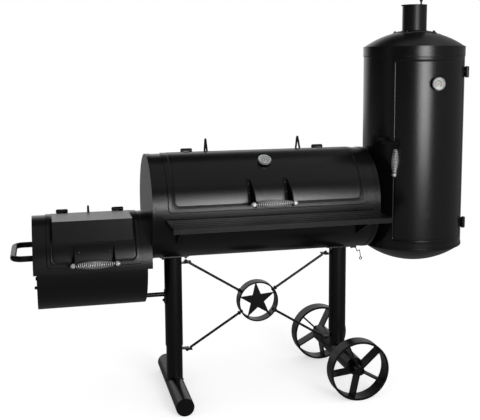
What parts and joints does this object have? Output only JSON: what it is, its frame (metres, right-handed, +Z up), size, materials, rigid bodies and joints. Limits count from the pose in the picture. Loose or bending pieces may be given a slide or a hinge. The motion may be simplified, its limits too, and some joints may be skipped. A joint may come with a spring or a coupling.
{
  "type": "offset smoker",
  "caption": "Free-standing charcoal smoker: a side fire box, a lying cooking drum with a front shelf, an upright smoking tower with a door, and a wheeled tubular frame with a star brace.",
  "frame": {"origin": "on the floor, under the middle of the whole footprint", "axes": "+X from the fire box to the tower, +Y from the shelf to the back, +Z up"},
  "size_m": [1.833, 0.639, 1.5649],
  "materials": {
    "paint": "satin heat-resistant black",
    "grate_steel": "plated wire and bar",
    "bright_steel": "bright zinc or chrome",
    "dial_face": "matt white print",
    "dial_glass": "clear",
    "needle": "red"
  },
  "bodies": {
    "standing_frame": {"chamber_shell": "paint", "chamber_end_left": "paint", "chamber_end_right": "paint", "grate_supports": "paint", "hinge_frame_leaves": "paint", "cooking_grates": "grate_steel", "hinge_pins": "paint", "lid_stops": "paint", "firebox_body": "paint", "firebox_hood": "paint", "charcoal_grate": "grate_steel", "pull_handle": "paint", "tower_shell": "paint", "tower_bottom": "paint", "tower_top": "paint", "smoking_racks": "grate_steel", "door_keeper": "paint", "chimney_pipe": "paint", "leg_left": "paint", "leg_right": "paint", "foot_tube": "paint", "axle_tube": "paint", "axle": "paint", "star_ring": "paint", "brace_rods": "paint", "firebox_strut": "paint", "front_shelf": "paint", "shelf_brackets": "paint", "frame_bolts": "paint"},
    "main_lid": {"main_lid": "paint", "main_hinge_leaves": "paint", "main_handle_ears": "paint", "main_handle_rod": "bright_steel", "main_handle_spring": "bright_steel", "main_lid_rivets": "bright_steel", "main_thermometer_case": "bright_steel", "main_thermometer_dial": "dial_face", "main_thermometer_glass": "dial_glass"},
    "main_needle": {"main_thermometer_needle": "needle"},
    "firebox_lid": {"firebox_lid": "paint", "firebox_lid_box": "paint", "firebox_hinge_leaves": "paint", "firebox_handle_bracket": "paint", "firebox_handle_rod": "bright_steel", "firebox_handle_spring": "bright_steel", "firebox_lid_rivets": "bright_steel"},
    "tower_door": {"tower_door": "paint", "door_hinge_leaves": "paint", "latch_base": "paint", "tower_thermometer_case": "bright_steel", "tower_thermometer_dial": "dial_face", "tower_thermometer_glass": "dial_glass"},
    "tower_needle": {"tower_thermometer_needle": "needle"},
    "latch": {"latch_lever": "paint", "latch_spring": "bright_steel"},
    "front_wheel": {"wheel_front": "paint"},
    "back_wheel": {"wheel_back": "paint"},
    "vent_damper": {"vent_damper": "paint"},
    "chimney_cap": {"chimney_cap": "paint"},
    "drain_hook": {"drain_hook": "paint"}
  },
  "joints": [
    {"name": "main_lid_hinge", "type": "hinge", "parent": "standing_frame", "child": "main_lid", "pos_m": [0.044, 0.11942, 0.9688], "axis": [-1, 0, 0], "range_deg": [0, 103]},
    {"name": "firebox_lid_hinge", "type": "hinge", "parent": "standing_frame", "child": "firebox_lid", "pos_m": [-0.6145, 0.11272, 0.7479], "axis": [-1, 0, 0], "range_deg": [0, 112]},
    {"name": "tower_door_hinge", "type": "hinge", "parent": "standing_frame", "child": "tower_door", "pos_m": [0.87968, -0.07776, 0.967], "axis": [0, 0, 1], "range_deg": [0, 110]},
    {"name": "latch_pivot", "type": "hinge", "parent": "tower_door", "child": "latch", "pos_m": [0.57091, -0.10523, 0.995], "axis": [-0.6561, -0.7547, 0], "range_deg": [-12, 75]},
    {"name": "front_wheel_axle", "type": "hinge", "parent": "standing_frame", "child": "front_wheel", "pos_m": [0.388, -0.1765, 0.1185], "axis": [0, 1, 0], "continuous": true},
    {"name": "back_wheel_axle", "type": "hinge", "parent": "standing_frame", "child": "back_wheel", "pos_m": [0.388, 0.2895, 0.1185], "axis": [0, 1, 0], "continuous": true},
    {"name": "main_needle_spindle", "type": "hinge", "parent": "main_lid", "child": "main_needle", "pos_m": [0.044, -0.06462, 0.94257], "axis": [0, -0.5592, 0.829], "range_deg": [-270, 0]},
    {"name": "tower_needle_spindle", "type": "hinge", "parent": "tower_door", "child": "tower_needle", "pos_m": [0.7115, -0.1701, 1.227], "axis": [0, -1, 0], "range_deg": [-270, 0]},
    {"name": "vent_damper_pivot", "type": "hinge", "parent": "standing_frame", "child": "vent_damper", "pos_m": [-0.8247, 0.0565, 0.502], "axis": [1, 0, 0], "range_deg": [0, 60]},
    {"name": "chimney_cap_pivot", "type": "hinge", "parent": "standing_frame", "child": "chimney_cap", "pos_m": [0.7115, 0.1135, 1.539], "axis": [0, 0, 1], "range_deg": [0, 110]},
    {"name": "drain_hook_swing", "type": "hinge", "parent": "standing_frame", "child": "drain_hook", "pos_m": [0.4615, 0.0565, 0.554], "axis": [0, 1, 0], "range_deg": [-30, 30]}
  ]
}
